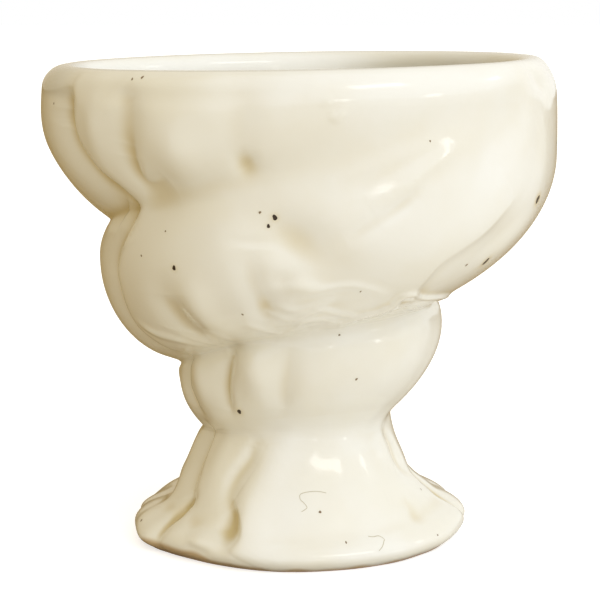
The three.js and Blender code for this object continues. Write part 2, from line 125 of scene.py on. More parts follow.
# Grooves between ribs: angle along the spiral, lean, depth share, width share, start and end shares
WALL_GROOVES = [
    (911, 0, 0.5, 0.7, 0, 0.55),
    *even_grooves(718, 24.5, 8, 0.8, 1.1),
    *even_grooves(392, 24.5, 7, 0.7, 0.9),
    *even_grooves(70, 28, 5, 0.6, 0.65),
    *even_grooves(-345, 33, 6, 0.75, 1.1),
]


def smooth_step(value, low, high):
    share = np.clip((value - low) / (high - low), 0, 1)
    return share * share * (3 - 2 * share)


def angle_from(middle, angle):
    """The angle as seen from a middle, within half a turn to either side."""
    return np.mod(angle - middle + TURN / 2, TURN) - TURN / 2


def smooth_between(before, near, far, after, share):
    """Place between near and far on the smooth curve that runs through four places."""
    bend = 3 * (near - far) + after - before
    slope = 2 * before - 5 * near + 4 * far - after
    return near + 0.5 * share * (far - before + share * (slope + share * bend))


def along_spiral(table, turn):
    """Smooth curve through the quarter turn values of a table."""
    table = np.asarray(table, float)
    last = len(table) - 1
    place = np.clip(np.asarray(turn, float) / (TURN / 4), 0, last)
    start = np.minimum(place.astype(int), last - 1)
    share = place - start
    before, near, far, after = (table[np.clip(start + step, 0, last)] for step in (-1, 0, 1, 2))
    return smooth_between(before, near, far, after, share)


def rim_height(angle):
    return CUP_HEIGHT + RIM_RISE * np.cos(np.radians(angle))


def line_height(turn, angle):
    """Height of the spiral line; below turn 0 it is the table that the foot stands on."""
    top = rim_height(angle)
    rise = FOOT_HEIGHT + (CUP_HEIGHT - FOOT_HEIGHT) * along_spiral(LINE_RISE_SHARES, turn)
    height = np.where(turn >= SPIRAL_END, top, np.minimum(rise, top))
    return np.where(turn < 0, 0, height)


def spiral_radius(table, turn):
    return NECK_RADIUS + (BODY_RADIUS - NECK_RADIUS) * along_spiral(table, turn)


def round_curve(table, angle):
    """Smooth curve round the cup through a value at the right, the back, the left and the front."""
    table = np.asarray(table, float)
    place = np.mod(np.asarray(angle, float) / (TURN / 4), 4)
    start = place.astype(int) % 4
    share = 0.5 - 0.5 * np.cos(np.pi * (place - start))
    return table[start] + (table[(start + 1) % 4] - table[start]) * share


def foot_radius(angle, height):
    """The foot's flank flares out to its rolled edge, and the two blend where they meet."""
    neck_height = line_height(angle, angle)
    neck_radius = spiral_radius(LINE_RADIUS_SHARES, angle)
    flank_radius = FOOT_RADIUS * round_curve(FOOT_FLANK_SHARES, angle)
    fall = np.clip((neck_height - height) / (neck_height - FOOT_EDGE_HEIGHT), 0, 1)
    flank = neck_radius + (flank_radius - neck_radius) * fall ** round_curve(FOOT_FLANK_POWERS, angle)
    flank = flank - FOOT_EDGE_ROLL * np.clip(1 - height / FOOT_EDGE_HEIGHT, 0, 1) ** 2
    edge_radius = FOOT_RADIUS * round_curve(FOOT_EDGE_SHARES, angle)
    edge = edge_radius - FOOT_EDGE_ROLL * (height / FOOT_EDGE_HEIGHT - 1) ** 2
    step = np.abs(edge - flank) / FOOT_LEDGE_BLEND
    return np.maximum(flank, edge) + FOOT_LEDGE_BLEND * np.log1p(np.exp(-step))


def whorl_radius(turn, angle, height):
    """One whorl swells from its lower line to a crest and draws in again to its upper line."""
    low = line_height(turn, angle)
    high = line_height(turn + TURN, angle)
    low_radius = spiral_radius(LINE_RADIUS_SHARES, turn)
    high_radius = spiral_radius(LINE_RADIUS_SHARES, turn + TURN)
    crest = np.maximum(spiral_radius(CREST_RADIUS_SHARES, turn), np.maximum(low_radius, high_radius))
    crest_place = along_spiral(CREST_PLACE_SHARES, turn)
    place = (height - low) / np.maximum(high - low, TINY)
    below = np.clip(1 - place / crest_place, 0, 1)
    above = np.clip((place - crest_place) / (1 - crest_place), 0, 1)
    bulge = (1 - below ** along_spiral(FLANK_POWERS, turn)) ** (1 / along_spiral(FLANK_ROOTS, turn))
    lower_flank = low_radius + (crest - low_radius) * bulge
    upper_flank = crest + (high_radius - crest) * above ** 2
    return np.where(place < crest_place, lower_flank, upper_flank)


def sharp_radius(angle, height):
    """Outer radius of the foot and the whorls, before the glaze rounds the creases."""
    radius = foot_radius(angle, height)
    for lap in range(LAPS):
        turn = angle + lap * TURN
        low = line_height(turn, angle)
        is_open = line_height(turn + TURN, angle) > low
        radius = np.where(is_open & (height >= low), whorl_radius(turn, angle, height), radius)
    return radius


# Places where the glaze has filled a crease: angle and height, half width and half height, added reach
FILLED_CREASES = [
    (305, 44, 42, 9, 3.4),
    (285, 13.9, 55, 3.2, 2.2),
    (285, 27.0, 30, 3.0, 1.0),
    (243, 41.5, 22, 3.0, 0.9),
]


def crease_radius(angle, height):
    """The glaze rounds the creases, and fills some of them."""
    reach = CREASE_RADIUS
    for middle, level, width, tall, added in FILLED_CREASES:
        around = angle_from(middle, angle) / width
        reach = reach + added * np.exp(-around ** 4 - ((height - level) / tall) ** 4)
    return reach


def groove_depth(groove, angle, height, radius):
    """Depth of one groove between ribs, as it follows its whorl upwards."""
    middle_turn, lean, depth, width, start, end = groove
    turn = angle + np.round((middle_turn - angle) / TURN) * TURN
    low = line_height(turn, angle)
    # Before turn 0 the upper line would be the table, so it stays where it is at turn 0
    high = line_height(np.maximum(turn + TURN, 0), angle)
    place = (height - low) / np.maximum(high - low, TINY)
    margin = GROOVE_MARGIN_SHARE
    inside = (high - low >= RIB_WIDTH) & (place >= -margin) & (place <= 1 + margin)
    starts = smooth_step(place, start - margin, start + margin)
    ends = 1 - smooth_step(place, end - GROOVE_RUN_OUT_SHARE, end)
    middle = middle_turn + lean * (place - 0.5)
    across = np.radians(middle - turn) * radius / (RIB_WIDTH * width)
    profile = np.exp(GROOVE_ROUNDNESS_SHARE - np.hypot(across, GROOVE_ROUNDNESS_SHARE))
    return np.where(inside, RIB_DEPTH * depth * profile * starts * ends, 0)


def lip_shoulder_height(angle):
    return LIP_SHOULDER_HEIGHT + LIP_SHOULDER_CHANGE * np.cos(np.radians(angle))


# Folds and grooves that a hand pressed into the clay. Each follows a path of angle and height, and has
# its rise, its reach to the left and to the right of the path's direction, and its softness.
FOLDS = [
    # Grooves between the ribs of the top whorl, and a shallow one under the lip
    ([(212.5, 52), (212.6, 50.5), (211.8, 47.2)], -0.5, 1.3, 3.4, 1.8),
    ([(211.6, 49.5), (211.8, 47.9), (212.8, 45.8), (214.6, 44), (216.6, 42.3), (220.4, 41), (222, 39.8)],
     -1.6, 1.0, 3.2, 1.7),
    ([(229.3, 52), (231.8, 50.4), (232.2, 48.4), (231.8, 46.9), (231.5, 45)], -0.55, 1.8, 2.2, 2),
    ([(231.8, 46.3), (231.1, 43.9), (231.3, 42.8), (232.5, 42.2), (235.5, 42.3), (239, 42.9)],
     -0.7, 0.9, 1.8, 1.7),
    ([(257.6, 52.1), (257.6, 49.2), (257, 46.2), (258.6, 44.5)], -0.35, 2.2, 2.2, 2),
    ([(218, 51.7), (238, 51.3), (250, 51.4), (270, 51.9)], -0.25, 1.0, 1.0, 2),
    # Ribs and creases of the second whorl
    ([(222, 39.1), (219.2, 37.1), (214.4, 34.7), (211.2, 32.5), (210.2, 30.5), (208.9, 28.8), (207.8, 27),
      (207.2, 25.3), (208, 24.4), (209.2, 23.4), (209.4, 22.2)], -1.3, 1.0, 3.2, 1.6),
    ([(258.6, 36), (258.9, 32.7), (260.8, 30.0), (261, 28)], -0.45, 1.6, 1.6, 2),
    ([(233.5, 30.5), (234, 28.6), (234.2, 27.1), (234.6, 25.6), (231.9, 24.3)], -0.9, 2.6, 1.9, 2),
    ([(216, 25.8), (220, 25), (224.5, 24.6), (228.5, 23.9)], 0.4, 0.6, 0.6, 2),
    ([(254, 36.9), (263, 37.0)], -0.12, 0.6, 0.6, 2),
    # Convex edge where the body turns under at the right, slanting ridges and grooves above it, and small
    # marks below the rim
    ([(299, 29.5), (300.7, 31.0), (301.8, 33.6), (304, 34.8), (308, 36), (312.7, 37.3), (318, 39.3),
      (322, 40.6)], 0.55, 3.2, 1.0, 1.7),
    ([(280, 37.0), (284.9, 38.5), (289.3, 40), (294.3, 41.4)], -0.4, 1.1, 1.1, 2),
    ([(286, 39.2), (287.9, 39.9), (295.9, 43.6), (304, 46)], 0.35, 1.8, 0.8, 1.7),
    ([(277.7, 43.2), (298.5, 46.9)], 0.15, 1.0, 0.8, 2),
    ([(328, 53), (327.4, 47), (326.5, 43)], 0.15, 1.5, 1.5, 2),
    ([(274.4, 50.9), (276.4, 51.0)], 0.12, 0.4, 0.4, 2),
    ([(276.3, 49.9), (277.2, 49.3), (278.8, 50.2)], 0.16, 0.4, 0.4, 2),
    ([(329, 53.5), (331, 53), (339, 51)], -0.3, 1.0, 1.0, 2),
    # Pinched clay along the joint between bowl and stem whorl
    ([(271, 31.3), (277.3, 31.9), (282.3, 32.1), (287.4, 31.6), (294, 30.5)], 0.35, 0.5, 0.6, 1.6),
    ([(263, 29.9), (268.6, 29.3), (272.6, 29.7), (278, 30.6)], 0.4, 0.5, 0.6, 1.6),
    ([(261, 29.2), (266.7, 28.0), (272.8, 28.8), (276.1, 29.2), (282.2, 28.4), (289.8, 27.8), (295, 28.3),
      (302, 29.3)], 0.5, 0.5, 0.6, 1.6),
    ([(255, 27.2), (262.2, 25.8), (268.1, 26.4), (271.2, 27.5), (277, 27.8), (284.9, 26.9), (291.4, 28),
      (297.1, 28.4), (304, 29.1)], 0.6, 0.5, 0.7, 1.6),
    ([(296, 28.8), (297.8, 29.2), (298.1, 30.3), (301.4, 30.4), (309, 29.5), (334, 28.3)],
     1.0, 0.45, 0.6, 1.8),
    ([(300, 27.7), (303.8, 29.0), (316, 28.1), (328, 27.8)], 0.45, 0.35, 0.4, 1.6),
    # Grooves between the ribs of the stem whorl
    ([(208, 22.6), (208.7, 20.9), (208.4, 19.6), (207.5, 18.4), (208.2, 17.4), (210, 15.6)],
     -1.0, 0.9, 1.6, 1.7),
    ([(241, 23.4), (239.4, 22.4), (237.5, 21), (235.4, 19.1), (234.4, 17.6), (233.6, 16)],
     -1.0, 0.9, 1.5, 1.6),
    ([(265.5, 24.2), (264.5, 21.7), (262.8, 19.3), (262.2, 16.8)], -0.5, 1.3, 1.5, 1.8),
    # Grooves and pinched folds of the foot
    ([(206, 12.6), (207.6, 10.6), (209.4, 8.8), (212.2, 7.3), (214.7, 5.6)], -0.8, 0.9, 2.4, 1.8),
    ([(218.8, 5.6), (215.6, 4.4), (214.3, 3.4), (214.8, 2.4), (216.2, 1.2)], -1.1, 0.9, 0.9, 1.8),
    ([(244.2, 12), (242.8, 10.5), (239.8, 9.1), (238.7, 8.1), (239.2, 6.9), (241.8, 5.8)], -0.7, 1.2, 1.2, 2),
    ([(241.5, 6.8), (244.7, 6.3), (246.9, 5.8), (248.6, 5.0), (249.6, 4.1), (249.2, 3.2), (247, 2.0)],
     1.2, 3.0, 0.8, 1.3),
    ([(229, 2.0), (239, 1.5)], -0.3, 0.6, 0.6, 2),
    ([(332.8, 12.6), (337.5, 10.8), (335.3, 9.0), (336.5, 7.7), (347.0, 6.4)], -0.4, 0.9, 0.9, 1.8),
    ([(349, 7.6), (351, 6.2), (352.5, 4.8), (353, 3.2), (353, 1.5)], -0.9, 0.8, 0.5, 1.5),
    ([(311, 5.8), (320.8, 5.1), (320.6, 3.9), (325, 2.8)], -0.25, 1.1, 1.2, 2),
]

# Lobes and hollows: angle and height of the middle, rise, half width, half height, and tilt in degrees
LUMPS = [
    (243.5, 45.2, 0.8, 2.7, 2.7, 0),
    (222, 47, 0.35, 1.6, 4.0, 0),
    (258.6, 44.8, -0.45, 1.2, 1.2, 0),
    (269.5, 36.8, -1.4, 4.8, 2.7, -24),
    (270, 32.0, 0.5, 2.2, 0.9, 0),
    (279, 32.5, -0.8, 5.5, 3.6, 0),
    (266, 32.5, -0.35, 1.3, 1.2, 0),
    (260.8, 29.5, -0.4, 1.5, 1.4, 0),
    (243, 28.6, 0.9, 2.0, 3.2, 8),
    (322, 36.5, -0.4, 4.0, 1.8, 30),
    (283, 29.9, -0.15, 3.5, 0.9, 0),
    (251, 21.2, 0.8, 1.9, 3.2, 0),
    (221, 19.6, 0.4, 1.2, 3.0, 0),
    (225, 9.5, 0.4, 1.6, 3.6, 0),
    (243.6, 4.2, -0.8, 1.2, 1.9, 0),
    (283, 10.2, -0.5, 3.6, 3.2, 0),
    (316, 10.2, -0.3, 2.4, 2.6, 0),
    (181, 4.9, -0.9, 3.0, 1.4, 0),
    (163, 2.8, -1.4, 4.0, 1.6, 0),
    (173, 4.6, -1.1, 3.6, 1.6, 0),
    (255, 4.0, 0.3, 1.8, 1.8, 0),
    (201, 3.4, 0.7, 1.5, 1.1, 0),
    (210, 0.9, 0.9, 3.2, 1.5, 0),
    (218.5, 4.2, 0.35, 0.9, 0.8, 0),
    (223, 3.2, 0.4, 1.3, 0.9, 0),
    (232.8, 3.0, 0.6, 1.6, 1.1, 0),
    (5, 7.0, -0.8, 4.0, 1.6, 0),
]


@functools.cache
def degree_length(angle, height):
    """Millimetres round the wall that one degree takes up at a place."""
    return math.radians(1) * float(outer_form(np.array([angle]), np.array([height]))[0])


def smooth_path(points, steps):
    """The path as a smooth curve through its points."""
    points = np.array([points[0], *points, points[-1]], float)
    curve = []
    for before, near, far, after in zip(points, points[1:], points[2:], points[3:]):
        for share in np.arange(steps) / steps:
            curve.append(smooth_between(before, near, far, after, share))
    return [tuple(place) for place in (*curve, points[-1])]


def path_distance(angle, height, path):
    """Distance in millimetres to a path on the unrolled wall, its side (-1 to 1), and the share gone."""
    mean_angle, mean_height = (sum(values) / len(path) for values in zip(*path))
    scale = degree_length(mean_angle, mean_height)
    points = smooth_path([((turned - mean_angle) * scale, level) for turned, level in path], PATH_STEPS)
    lengths = [math.dist(start, end) for start, end in zip(points, points[1:])]
    across = angle_from(mean_angle, angle) * scale
    nearest = np.full(across.shape, np.inf)
    side = np.zeros(across.shape)
    along = np.zeros(across.shape)
    gone = 0.0
    for (x0, y0), (x1, y1), length in zip(points, points[1:], lengths):
        dx = (x1 - x0) / length
        dy = (y1 - y0) / length
        share = np.clip(((across - x0) * dx + (height - y0) * dy) / length, 0, 1)
        distance = np.hypot(across - x0 - share * length * dx, height - y0 - share * length * dy)
        closer = distance < nearest
        nearest = np.where(closer, distance, nearest)
        aside = (across - x0) * dy - (height - y0) * dx
        side = np.where(closer, aside / np.maximum(distance, TINY), side)
        along = np.where(closer, (gone + share * length) / sum(lengths), along)
        gone += length
    return nearest, side, along


# Waves of the hand made wall: laps round the cup, millimetres of height per radian, phase and share
HAND_WAVES = [
    (7, 3.1, 0.4, 1),
    (-11, 2.3, 2.0, 0.7),
    (16, -1.9, 4.1, 0.5),
    (-21, 1.5, 1.2, 0.35),
    (4, -2.7, 5.3, 0.8),
]

# A fold or lobe is worked out up to this many times its reach, and a fold's ends start at this share
REACHES_FELT = 4
FOLD_END_SHARE = 0.04


def near_path(path, reach, angle, height):
    """True where the wall is near enough to a path to feel its fold."""
    angles, levels = zip(*path)
    middle = (min(angles) + max(angles)) / 2
    around = np.abs(angle_from(middle, angle))
    margin = REACHES_FELT * reach
    spread = (max(angles) - min(angles)) / 2 + math.degrees(margin / NECK_RADIUS)
    return (around < spread) & (height > min(levels) - margin) & (height < max(levels) + margin)


def fold_rise(fold, angle, height):
    """Rise of one pressed fold, which tapers off at both ends of its path."""
    path, rise, left_reach, right_reach, softness = fold
    distance, side, along = path_distance(angle, height, path)
    reach = left_reach + (right_reach - left_reach) * (0.5 + 0.5 * side)
    stretch = FOLD_END_SHARE + (1 - 2 * FOLD_END_SHARE) * along
    taper = np.sqrt(np.sin(np.pi * stretch))
    return rise * np.exp(-(distance / reach) ** softness) * taper


def lump_rise(lump, angle, height):
    """Rise of one oval lobe or hollow, turned by its tilt."""
    middle, level, rise, width, tall, tilt = lump
    across = angle_from(middle, angle) * degree_length(middle, level)
    above = height - level
    turned = math.radians(tilt)
    along = across * math.cos(turned) + above * math.sin(turned)
    aside = above * math.cos(turned) - across * math.sin(turned)
    return rise * np.exp(-(along / width) ** 2 - (aside / tall) ** 2)


# How fast the weights fall towards the ends of the stretch that rounds a crease
SMOOTHING_FALL = 2


def outer_form(angle, height):
    """Outer radius of the cup with its whorls and rounded lip, without grooves and folds."""
    top = rim_height(angle)
    reach = crease_radius(angle, height)
    total = 0
    weights = 0
    for offset in np.linspace(-1, 1, SMOOTHING_STEPS + 1):
        weight = math.exp(-SMOOTHING_FALL * offset ** 2)
        total = total + weight * sharp_radius(angle, np.clip(height + offset * reach, 0, top))
        weights += weight
    rise = np.clip(1 - (top - height) / lip_shoulder_height(angle), 0, 1)
    return total / weights - LIP_SHOULDER_WIDTH * (1 - np.sqrt(1 - rise ** 2))


def hand_unevenness(angle, height):
    """Slow waves all over the wall, as a hand leaves them."""
    around = np.radians(angle)
    rise = 0
    for laps, pitch, phase, share in HAND_WAVES:
        rise = rise + share * np.sin(laps * around + height / pitch + phase)
    return UNEVENNESS * rise


def outer_radius(angle, height):
    """Outer radius of the finished wall, with all its grooves, folds and lobes."""
    form = outer_form(angle, height) + hand_unevenness(angle, height)
    radius = form - sum(groove_depth(groove, angle, height, form) for groove in WALL_GROOVES)
    angle, height = np.broadcast_arrays(angle, height)
    for fold in FOLDS:
        path, _, left_reach, right_reach, _ = fold
        near = near_path(path, max(left_reach, right_reach), angle, height)
        radius[near] += fold_rise(fold, angle[near], height[near])
    for lump in LUMPS:
        middle, level, _, width, tall, _ = lump
        near = near_path([(middle, level)], max(width, tall), angle, height)
        radius[near] += lump_rise(lump, angle[near], height[near])
    return radius


ANGLES = np.arange(COLUMNS) * TURN / COLUMNS


def ring(radius, height):
    """Points of one ring, or of many when radius and height have rows."""
    around = np.radians(ANGLES)
    radius = radius + np.zeros_like(height) + np.zeros(COLUMNS)
    height = height + np.zeros(COLUMNS)
    return np.stack([radius * np.cos(around), radius * np.sin(around), height], -1)


def wall_rings(bottom, top, rows):
    shares = np.linspace(0, 1, rows)[:, None]
    height = bottom + (top - bottom) * shares
    return ring(outer_radius(ANGLES, height), height)


def neck_line():
    return line_height(ANGLES, ANGLES)


def bowl_line():
    turn = np.where(ANGLES < TURN / 2, 2 * TURN - ANGLES, TURN + ANGLES)
    return line_height(turn, ANGLES)


def joint_rings(line, offset, shares):
    """Clay face of a luted joint, from its middle outwards."""
    edge = line + offset
    middle = edge.mean()
    shares = np.asarray(shares)[:, None]
    radius = outer_radius(ANGLES, edge)
    return ring(shares * radius, middle + (edge - middle) * shares ** 2)


# Rings of a joint face, as shares of the way from its middle to the wall
JOINT_SHARES = [0.02, 0.25, 0.5, 0.75]
HALF_SLIP = SLIP_THICKNESS / 2


def quarter(count):
    """Angles of a quarter circle, without its start."""
    return (np.arange(1, count + 1) / count * math.pi / 2)[:, None]


def bowl_rings():
    """Lowest point on the axis, the bowl's rings from its joint over the lip inwards, and the last point."""
    line = bowl_line() + HALF_SLIP
    rim = rim_height(ANGLES)
    shoulder = lip_shoulder_height(ANGLES)
    wall = wall_rings(line, rim - shoulder, BOWL_ROWS)
    lip_height = rim - shoulder * (1 - np.sin(quarter(LIP_ROWS)))
    lip = ring(outer_radius(ANGLES, lip_height), lip_height)
    crest = outer_radius(ANGLES, rim)
    slope = quarter(INNER_LIP_ROWS)
    inner_lip = ring(crest - LIP_INNER_WIDTH * np.sin(slope), rim - LIP_INNER_HEIGHT * (1 - np.cos(slope)))
    floor = line.mean() + BOWL_FLOOR_THICKNESS
    slope = quarter(HOLLOW_ROWS + 1)[:-1]
    mouth = rim + (CUP_HEIGHT - rim) * np.sin(slope) - LIP_INNER_HEIGHT
    depth = CUP_HEIGHT - LIP_INNER_HEIGHT - floor
    hollow = ring((crest - LIP_INNER_WIDTH) * np.cos(slope), mouth - depth * np.sin(slope))
    joint = joint_rings(bowl_line(), HALF_SLIP, JOINT_SHARES)
    return line.mean(), [joint, wall, lip, inner_lip, hollow], floor


def stem_rings():
    """Lowest point on the axis, the stem whorl's rings from bottom to top, and the last point."""
    low = neck_line() + HALF_SLIP
    high = bowl_line() - HALF_SLIP
    wall = wall_rings(low, high, STEM_ROWS)
    bottom = joint_rings(neck_line(), HALF_SLIP, JOINT_SHARES)
    top = joint_rings(bowl_line(), -HALF_SLIP, JOINT_SHARES[::-1])
    return low.mean(), [bottom, wall, top], high.mean()


def foot_rings():
    """Top of the hollow, the foot's rings from there round the edge to the neck, and the last point."""
    high = neck_line() - HALF_SLIP
    roof = high.mean() - FOOT_ROOF_THICKNESS
    slope = quarter(FOOT_HOLLOW_ROWS + 1)[:-1]
    hollow = ring(FOOT_HOLLOW_RADIUS * np.sin(slope), roof * np.cos(slope))
    shares = np.linspace(0, 1, FOOT_BASE_ROWS + 1)[:-1, None]
    edge = outer_radius(ANGLES, np.zeros(COLUMNS))
    flat = np.zeros((FOOT_BASE_ROWS, COLUMNS))
    base = ring(FOOT_HOLLOW_RADIUS + (edge - FOOT_HOLLOW_RADIUS) * shares, flat)
    wall = wall_rings(np.zeros(COLUMNS), high, FOOT_ROWS)
    top = joint_rings(neck_line(), -HALF_SLIP, JOINT_SHARES[::-1])
    return roof, [hollow, base, wall, top], high.mean()


def seam_rings(line):
    """Lowest point on the axis, the rings of one thin layer of slip, and the last point."""
    low = joint_rings(line, -HALF_SLIP, JOINT_SHARES)
    wall = wall_rings(line - HALF_SLIP, line + HALF_SLIP, SLIP_ROWS)
    high = joint_rings(line, HALF_SLIP, JOINT_SHARES[::-1])
    return line.mean() - HALF_SLIP, [low, wall, high], line.mean() + HALF_SLIP


def closed_faces(rows):
    """Quads between the rings, and the triangles that close them at the first and the last point."""
    column = np.arange(COLUMNS)
    following = (column + 1) % COLUMNS
    quads = []
    for row in range(rows - 1):
        low = 1 + row * COLUMNS
        high = low + COLUMNS
        quads.append(np.stack([low + column, low + following, high + following, high + column], -1))
    quads = np.concatenate(quads)
    last = 1 + rows * COLUMNS
    bottom = np.stack([np.zeros(COLUMNS, int), 1 + following, 1 + column], -1)
    top_row = 1 + (rows - 1) * COLUMNS
    top = np.stack([top_row + column, top_row + following, np.full(COLUMNS, last)], -1)
    return quads, bottom, top


def blurred(values, rows, columns):
    """Mean over a window of rows and columns, round the cup without a seam."""
    padded = np.pad(values, ((rows, rows), (0, 0)), mode="edge")
    padded = np.pad(padded, ((0, 0), (columns, columns)), mode="wrap")
    total = np.cumsum(np.cumsum(padded, 0), 1)
    total = np.pad(total, ((1, 0), (1, 0)))
    height = 2 * rows + 1
    width = 2 * columns + 1
    strips = total[height:] - total[:-height]
    return (strips[:, width:] - strips[:, :-width]) / (height * width)


# Windows of rows and columns that the wall is set against, to find small and wide hollows, which get pooled
# glaze and painted shade
NEAR_WINDOW = (4, 6)
WIDE_WINDOW = (12, 14)


def hollowness(rings, window):
    """How far each point of a wall lies behind the mean of its surroundings, in millimetres."""
    radius = np.hypot(rings[..., 0], rings[..., 1])
    return blurred(blurred(radius, *window), *window) - radius


# A speck's halo: its strength per millimetre of the speck's radius, and its reach in such radii
HALO_STRENGTH = 2
HALO_REACH = 2.2


def speck_halo(rings):
    """Rises around each speck, most round the larger ones."""
    halo = np.zeros(rings.shape[:2])
    for middle, level, size in SPECKS:
        across = angle_from(middle, ANGLES) * degree_length(middle, level)
        distance = np.hypot(across, rings[..., 2] - level)
        halo = np.maximum(halo, HALO_STRENGTH * size * np.exp(-(distance / (HALO_REACH * size)) ** 2))
    return halo


# Thin glaze at the foot: height of its band, how far and where it rises at the left, and its soft edge
THIN_HEIGHT = 0.35
THIN_RISE = 1.1
THIN_RISE_ANGLE = 222
THIN_RISE_WIDTH = 22
THIN_SOFTNESS = 0.7

# Waves of the thin glaze's edge: laps round the foot, rise and phase
THIN_WAVES = [(19, 0.12, 0), (31, 0.1, 50)]


def thin_glaze(rings):
    """1 at the foot's lower edge, where the glaze has run thin, mostly at the left."""
    aside = angle_from(THIN_RISE_ANGLE, ANGLES) / THIN_RISE_WIDTH
    edge = THIN_HEIGHT + THIN_RISE * np.exp(-aside ** 2)
    for laps, rise, phase in THIN_WAVES:
        edge = edge + rise * np.sin(np.radians(laps * ANGLES + phase))
    return np.clip((edge - rings[..., 2]) / THIN_SOFTNESS + 0.5, 0, 1)


# The inner wall's painted light and painted shade fade out between two depths; it is painted lighter at the
# left and painted grey shade at the right, between two cosines
INNER_FADE = (5, 15)
INNER_TURN = (-0.1, 0.7)


def inner_wall(rings, last_row):
    """Painted light and painted shade high on the bowl's inner wall: 1 for the painted light at its left and
    in front, and 1 for the painted shade at its right and back.
    """
    inside = np.clip((np.arange(len(rings))[:, None] - last_row) / INNER_LIP_ROWS, 0, 1)
    inside = inside * (1 - smooth_step(rim_height(ANGLES) - rings[..., 2], *INNER_FADE))
    right = smooth_step(np.cos(np.radians(ANGLES)), *INNER_TURN)
    return inside * (1 - right), inside * right


# Grey on the rim's crest, and painted shade round the rim's left end: the strength on its crest and at its
# left end, and the depths of its fades
CREST_STRENGTH = 0.5
CREST_FADE = (0.05, 0.16)
LEFT_END_STRENGTH = 0.6
LEFT_END_ANGLE = 190
LEFT_END_WIDTH = 22
LEFT_END_FADE = (2.4, 3.8)


def rim_grey_and_painted_shade(rings):
    """Grey on the rim's crest, and painted shade round the rim's left end."""
    depth = rim_height(ANGLES) - rings[..., 2]
    crest = 1 - smooth_step(depth, *CREST_FADE)
    aside = angle_from(LEFT_END_ANGLE, ANGLES) / LEFT_END_WIDTH
    left_end_painted_shade = np.exp(-aside ** 4) * (1 - smooth_step(depth, *LEFT_END_FADE))
    return np.maximum(CREST_STRENGTH * crest, LEFT_END_STRENGTH * left_end_painted_shade)


# Middle of the side with painted shade, and the cosines between which the painted shade comes in
SHADE_SIDE_ANGLE = 190
SHADE_SIDE_TURN = (0.1, 0.9)


def painted_shade_side():
    """Painted shade: 1 at the left and the back left, away from the light, and 0 in front and at the right.
    """
    return smooth_step(np.cos(np.radians(ANGLES - SHADE_SIDE_ANGLE)), *SHADE_SIDE_TURN)


def glaze_tints_and_painted_light(rings, first_row, last_row):
    """How much of each tint every point has, the glaze's own and the painted shade and painted light; the
    rows are those of the outer wall.
    """
    row = np.arange(len(rings))[:, None]
    outer = (row >= first_row) & (row <= last_row)
    inner_left_painted_light, inner_right_painted_shade = inner_wall(rings, last_row)
    return {
        # Painted shade on the left and back left, the side away from the light
        "painted_shade_side": outer * painted_shade_side(),
        # Glaze pooled in small and wide hollows, darkened further there as painted shade
        "near_hollow_pool_and_shade": outer * hollowness(rings, NEAR_WINDOW),
        "wide_hollow_pool_and_shade": outer * hollowness(rings, WIDE_WINDOW),
        "speck_halo": outer * speck_halo(rings),
        "thin_glaze": outer * thin_glaze(rings),
        # Painted light on the inner wall's left and front
        "inner_left_painted_light": inner_left_painted_light,
        # Painted shade on the inner wall's right and back and round the rim's left end, and grey on the rim's
        # crest
        "grey_rim_and_painted_shade": np.maximum(inner_right_painted_shade, rim_grey_and_painted_shade(rings)),
    }


def add_object(name, points, faces):
    """An object with a smoothly shaded mesh, in the scene."""
    mesh = bpy.data.meshes.new(name)
    mesh.from_pydata(np.asarray(points, float).tolist(), [], faces)
    mesh.polygons.foreach_set("use_smooth", [True] * len(mesh.polygons))
    thing = bpy.data.objects.new(name, mesh)
    bpy.context.scene.collection.objects.link(thing)
    return thing


def mark_sharp(mesh, rows):
    """Edges along these rings keep a crisp corner in the shading."""
    ends = np.zeros(len(mesh.edges) * 2, int)
    mesh.edges.foreach_get("vertices", ends)
    row = (ends.reshape(-1, 2) - 1) // COLUMNS
    sharp = (row[:, 0] == row[:, 1]) & np.isin(row[:, 0], rows)
    attribute = mesh.attributes.new("sharp_edge", "BOOLEAN", "EDGE")
    attribute.data.foreach_set("value", sharp)


def make_clay(name, start, parts, end, first_row, last_row, sharp_rows):
    """Piece from its rings; the rows of its outer wall are given, and the rows of its crisp edges."""
    rings = np.concatenate(parts)
    points = np.concatenate([[[0, 0, start]], rings.reshape(-1, 3), [[0, 0, end]]])
    quads, bottom, top = closed_faces(len(rings))
    piece = add_object(name, (points + AXIS) * MM, bottom.tolist() + quads.tolist() + top.tolist())
    mark_sharp(piece.data, sharp_rows)
    for label, values in glaze_tints_and_painted_light(rings, first_row, last_row).items():
        attribute = piece.data.attributes.new(label, "FLOAT", "POINT")
        attribute.data.foreach_set("value", np.concatenate([[0], values.ravel(), values[-1, :1]]))
    piece.data.update()
    return piece


def make_pieces():
    """The five pieces of clay and slip, each closed in itself."""
    low = len(JOINT_SHARES)
    high = low + BOWL_ROWS + LIP_ROWS
    bowl = make_clay("glazed_bowl", *bowl_rings(), low, high, [low])
    high = low + STEM_ROWS - 1
    stem = make_clay("glazed_stem_whorl", *stem_rings(), low, high, [low, high])
    high = low + SLIP_ROWS - 1
    bowl_seam = make_clay("glazed_bowl_seam", *seam_rings(bowl_line()), low, high, [low, high])
    foot_seam = make_clay("glazed_foot_seam", *seam_rings(neck_line()), low, high, [low, high])
    low = FOOT_HOLLOW_ROWS + FOOT_BASE_ROWS
    high = low + FOOT_ROWS - 1
    foot = make_clay("glazed_foot", *foot_rings(), low, high, [FOOT_HOLLOW_ROWS, low, high])
    return bowl, stem, foot, bowl_seam, foot_seam


